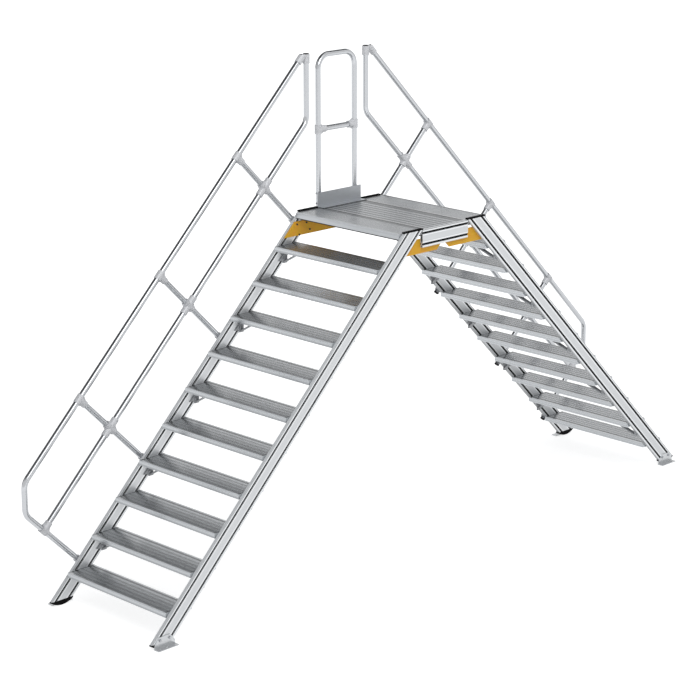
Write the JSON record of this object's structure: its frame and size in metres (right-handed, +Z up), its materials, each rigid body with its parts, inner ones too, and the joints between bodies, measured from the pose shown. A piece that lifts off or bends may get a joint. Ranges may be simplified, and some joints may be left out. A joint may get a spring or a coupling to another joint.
{
  "type": "crossover stairs",
  "caption": "Crossover stairs: straight open flights rise from both ends to a bridge platform, with tube handrails, a guard hoop and a toe board along one side.",
  "frame": {"origin": "on the floor, under the middle of the bridge", "axes": "+X along the walking line towards the right flight, +Y across it towards the railings, +Z up"},
  "size_m": [5.752, 1.14, 3.435],
  "materials": {
    "slotted_profile": "satin anodised extrusion",
    "ribbed_tread": "ribbed mill-finish extrusion",
    "yellow_plate": "passivated yellow sheet",
    "black_plastic": "matt black moulding",
    "cast_clamp": "tumbled casting",
    "sheet_aluminium": "folded mill-finish sheet",
    "rail_tube": "satin anodised tube"
  },
  "bodies": {
    "root": {"left_stringer_near": "slotted_profile", "left_stringer_far": "slotted_profile", "right_stringer_near": "slotted_profile", "right_stringer_far": "slotted_profile", "left_tread_01": "ribbed_tread", "left_tread_02": "ribbed_tread", "left_tread_03": "ribbed_tread", "left_tread_04": "ribbed_tread", "left_tread_05": "ribbed_tread", "left_tread_06": "ribbed_tread", "left_tread_07": "ribbed_tread", "left_tread_08": "ribbed_tread", "left_tread_09": "ribbed_tread", "left_tread_10": "ribbed_tread", "right_tread_01": "ribbed_tread", "right_tread_02": "ribbed_tread", "right_tread_03": "ribbed_tread", "right_tread_04": "ribbed_tread", "right_tread_05": "ribbed_tread", "right_tread_06": "ribbed_tread", "right_tread_07": "ribbed_tread", "right_tread_08": "ribbed_tread", "right_tread_09": "ribbed_tread", "right_tread_10": "ribbed_tread", "platform_plank_left": "ribbed_tread", "platform_plank_middle": "ribbed_tread", "platform_plank_right": "ribbed_tread", "side_beam_near": "slotted_profile", "side_beam_far": "slotted_profile", "gusset_plates": "yellow_plate", "top_caps": "black_plastic", "foot_shoes": "black_plastic", "foot_brackets": "sheet_aluminium", "tread_braces": "sheet_aluminium", "toe_board": "sheet_aluminium", "guard_hoop": "rail_tube", "guard_cross_tube": "rail_tube", "left_handrail": "rail_tube", "left_knee_rail": "rail_tube", "right_handrail": "rail_tube", "right_knee_rail": "rail_tube", "rail_posts": "rail_tube", "rail_clamps": "cast_clamp", "post_saddles": "cast_clamp", "tube_plugs": "black_plastic"}
  },
  "joints": []
}
